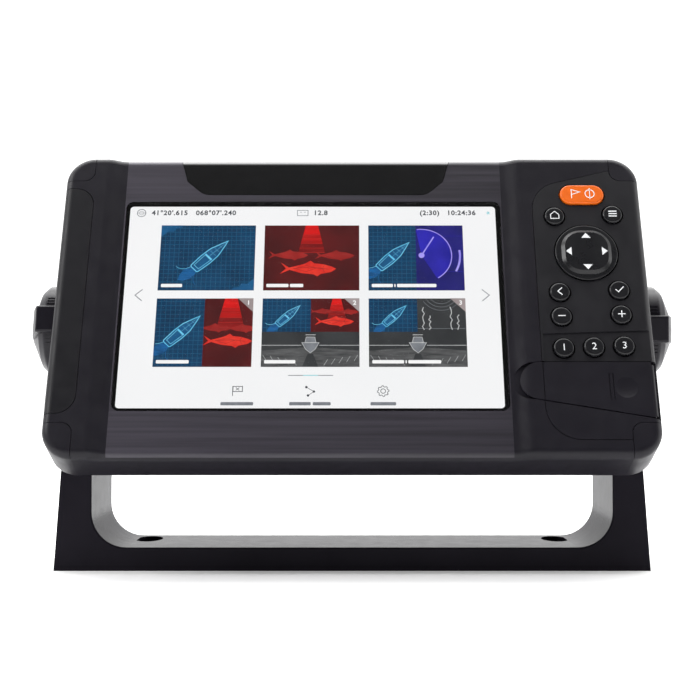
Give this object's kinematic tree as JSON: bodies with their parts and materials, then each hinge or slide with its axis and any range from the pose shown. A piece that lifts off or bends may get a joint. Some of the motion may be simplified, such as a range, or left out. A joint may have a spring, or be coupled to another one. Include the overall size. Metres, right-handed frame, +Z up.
{
  "type": "chartplotter display",
  "caption": "Marine chartplotter: a wide screen head with side keypad, tilting on a U-shaped trunnion bracket with clamp knobs.",
  "frame": {"origin": "centre of the bracket base's underside, below the tilt axis", "axes": "+X to the right as the user sees the screen, +Y away from the user, +Z up; the head leans back 24.2 degrees at rest"},
  "size_m": [0.2696, 0.0986, 0.1714],
  "materials": {
    "case_plastic": "satin moulded plastic",
    "fascia_finish": "fine horizontal brushed dark finish",
    "brand_gloss": "gloss black inset",
    "panel_plastic": "satin moulded plastic",
    "key_plastic": "satin keys with white print",
    "waypoint_plastic": "satin orange key",
    "rubber": "moulded rubber",
    "silicone": "translucent grey silicone",
    "glass": "bonded front glass",
    "display": "lit liquid crystal panel",
    "tinned_steel": "pressed steel",
    "aluminium": "plain sheet aluminium",
    "board": "green circuit board",
    "chip": "black chip packages",
    "ceramic": "ceramic antenna",
    "film": "amber flexible circuit",
    "brass": "turned brass",
    "gold_pins": "plated contact pins",
    "stainless": "stainless steel",
    "bracket_plastic": "semi-gloss moulded plastic",
    "knob_plastic": "satin moulded plastic"
  },
  "bodies": {
    "bracket": {"bracket": "bracket_plastic", "pivot_washers": "rubber"},
    "head": {"board_chips": "chip", "board_screws": "stainless", "brand_plate": "brand_gloss", "breather_vent": "rubber", "buzzer": "chip", "card_reader": "tinned_steel", "case_screws": "stainless", "case_seal": "rubber", "connector_nuts": "brass", "contact_pins": "gold_pins", "corner_cap_bottom_left": "case_plastic", "corner_cap_bottom_right": "case_plastic", "corner_cap_top_left": "case_plastic", "corner_cap_top_right": "case_plastic", "cover_glass": "glass", "door_pin": "stainless", "door_seal": "rubber", "fascia": "fascia_finish", "front_bezel": "case_plastic", "glass_gasket": "rubber", "gnss_antenna": "ceramic", "heat_spreader": "aluminium", "key_switches": "stainless", "keypad_board": "board", "keypad_mat": "silicone", "keypad_panel": "panel_plastic", "keypad_ribbon": "film", "lcd_backlight": "display", "lcd_frame": "tinned_steel", "lcd_panel": "display", "lcd_ribbon": "film", "main_board": "board", "pivot_inserts": "brass", "power_inlet": "case_plastic", "processor_shield": "tinned_steel", "rear_case": "case_plastic", "side_pad": "case_plastic", "sonar_inlet": "case_plastic", "wifi_antenna": "board"},
    "knob_left": {"knob_left": "knob_plastic", "knob_stud_left": "stainless"},
    "knob_right": {"knob_right": "knob_plastic", "knob_stud_right": "stainless"},
    "waypoint_key": {"waypoint_key": "waypoint_plastic"},
    "dpad_spider": {"dpad_spider": "key_plastic"},
    "dpad": {"dpad": "key_plastic"},
    "card_door": {"card_door": "case_plastic"},
    "home_key": {"home_key": "key_plastic"},
    "menu_key": {"menu_key": "key_plastic"},
    "back_key": {"back_key": "key_plastic"},
    "ok_key": {"ok_key": "key_plastic"},
    "minus_key": {"minus_key": "key_plastic"},
    "plus_key": {"plus_key": "key_plastic"},
    "key_1": {"key_1": "key_plastic"},
    "key_2": {"key_2": "key_plastic"},
    "key_3": {"key_3": "key_plastic"}
  },
  "joints": [
    {"name": "tilt", "type": "hinge", "parent": "bracket", "child": "head", "pos_m": [0, 0, 0.09868], "axis": [1, 0, 0], "range_deg": [-50, 12]},
    {"name": "knob_left_turn", "type": "hinge", "parent": "head", "child": "knob_left", "pos_m": [-0.12, 0, 0.09868], "axis": [-1, 0, 0], "continuous": true},
    {"name": "knob_right_turn", "type": "hinge", "parent": "head", "child": "knob_right", "pos_m": [0.12, 0, 0.09868], "axis": [1, 0, 0], "continuous": true},
    {"name": "waypoint_key_press", "type": "slide", "parent": "head", "child": "waypoint_key", "axis": [0, 0.9121, -0.4099], "range_m": [0, 0.0008], "stiffness_N_per_m": 400, "springref_m": -0.001},
    {"name": "home_key_press", "type": "slide", "parent": "head", "child": "home_key", "axis": [0, 0.9121, -0.4099], "range_m": [0, 0.0008], "stiffness_N_per_m": 400, "springref_m": -0.001},
    {"name": "menu_key_press", "type": "slide", "parent": "head", "child": "menu_key", "axis": [0, 0.9121, -0.4099], "range_m": [0, 0.0008], "stiffness_N_per_m": 400, "springref_m": -0.001},
    {"name": "back_key_press", "type": "slide", "parent": "head", "child": "back_key", "axis": [0, 0.9121, -0.4099], "range_m": [0, 0.0008], "stiffness_N_per_m": 400, "springref_m": -0.001},
    {"name": "ok_key_press", "type": "slide", "parent": "head", "child": "ok_key", "axis": [0, 0.9121, -0.4099], "range_m": [0, 0.0008], "stiffness_N_per_m": 400, "springref_m": -0.001},
    {"name": "minus_key_press", "type": "slide", "parent": "head", "child": "minus_key", "axis": [0, 0.9121, -0.4099], "range_m": [0, 0.0008], "stiffness_N_per_m": 400, "springref_m": -0.001},
    {"name": "plus_key_press", "type": "slide", "parent": "head", "child": "plus_key", "axis": [0, 0.9121, -0.4099], "range_m": [0, 0.0008], "stiffness_N_per_m": 400, "springref_m": -0.001},
    {"name": "key_1_press", "type": "slide", "parent": "head", "child": "key_1", "axis": [0, 0.9121, -0.4099], "range_m": [0, 0.0008], "stiffness_N_per_m": 400, "springref_m": -0.001},
    {"name": "key_2_press", "type": "slide", "parent": "head", "child": "key_2", "axis": [0, 0.9121, -0.4099], "range_m": [0, 0.0008], "stiffness_N_per_m": 400, "springref_m": -0.001},
    {"name": "key_3_press", "type": "slide", "parent": "head", "child": "key_3", "axis": [0, 0.9121, -0.4099], "range_m": [0, 0.0008], "stiffness_N_per_m": 400, "springref_m": -0.001},
    {"name": "dpad_up_down", "type": "hinge", "parent": "head", "child": "dpad_spider", "pos_m": [0.0958, -0.02247, 0.12846], "axis": [1, 0, 0], "range_deg": [-3, 3], "stiffness_Nm_per_rad": 0.5},
    {"name": "dpad_left_right", "type": "hinge", "parent": "dpad_spider", "child": "dpad", "pos_m": [0.0958, -0.02247, 0.12846], "axis": [0, 0.4099, 0.9121], "range_deg": [-3, 3], "stiffness_Nm_per_rad": 0.5},
    {"name": "card_door_swing", "type": "hinge", "parent": "head", "child": "card_door", "pos_m": [0.1176, -0.04676, 0.07661], "axis": [0, 0.4099, 0.9121], "range_deg": [0, 95]}
  ]
}
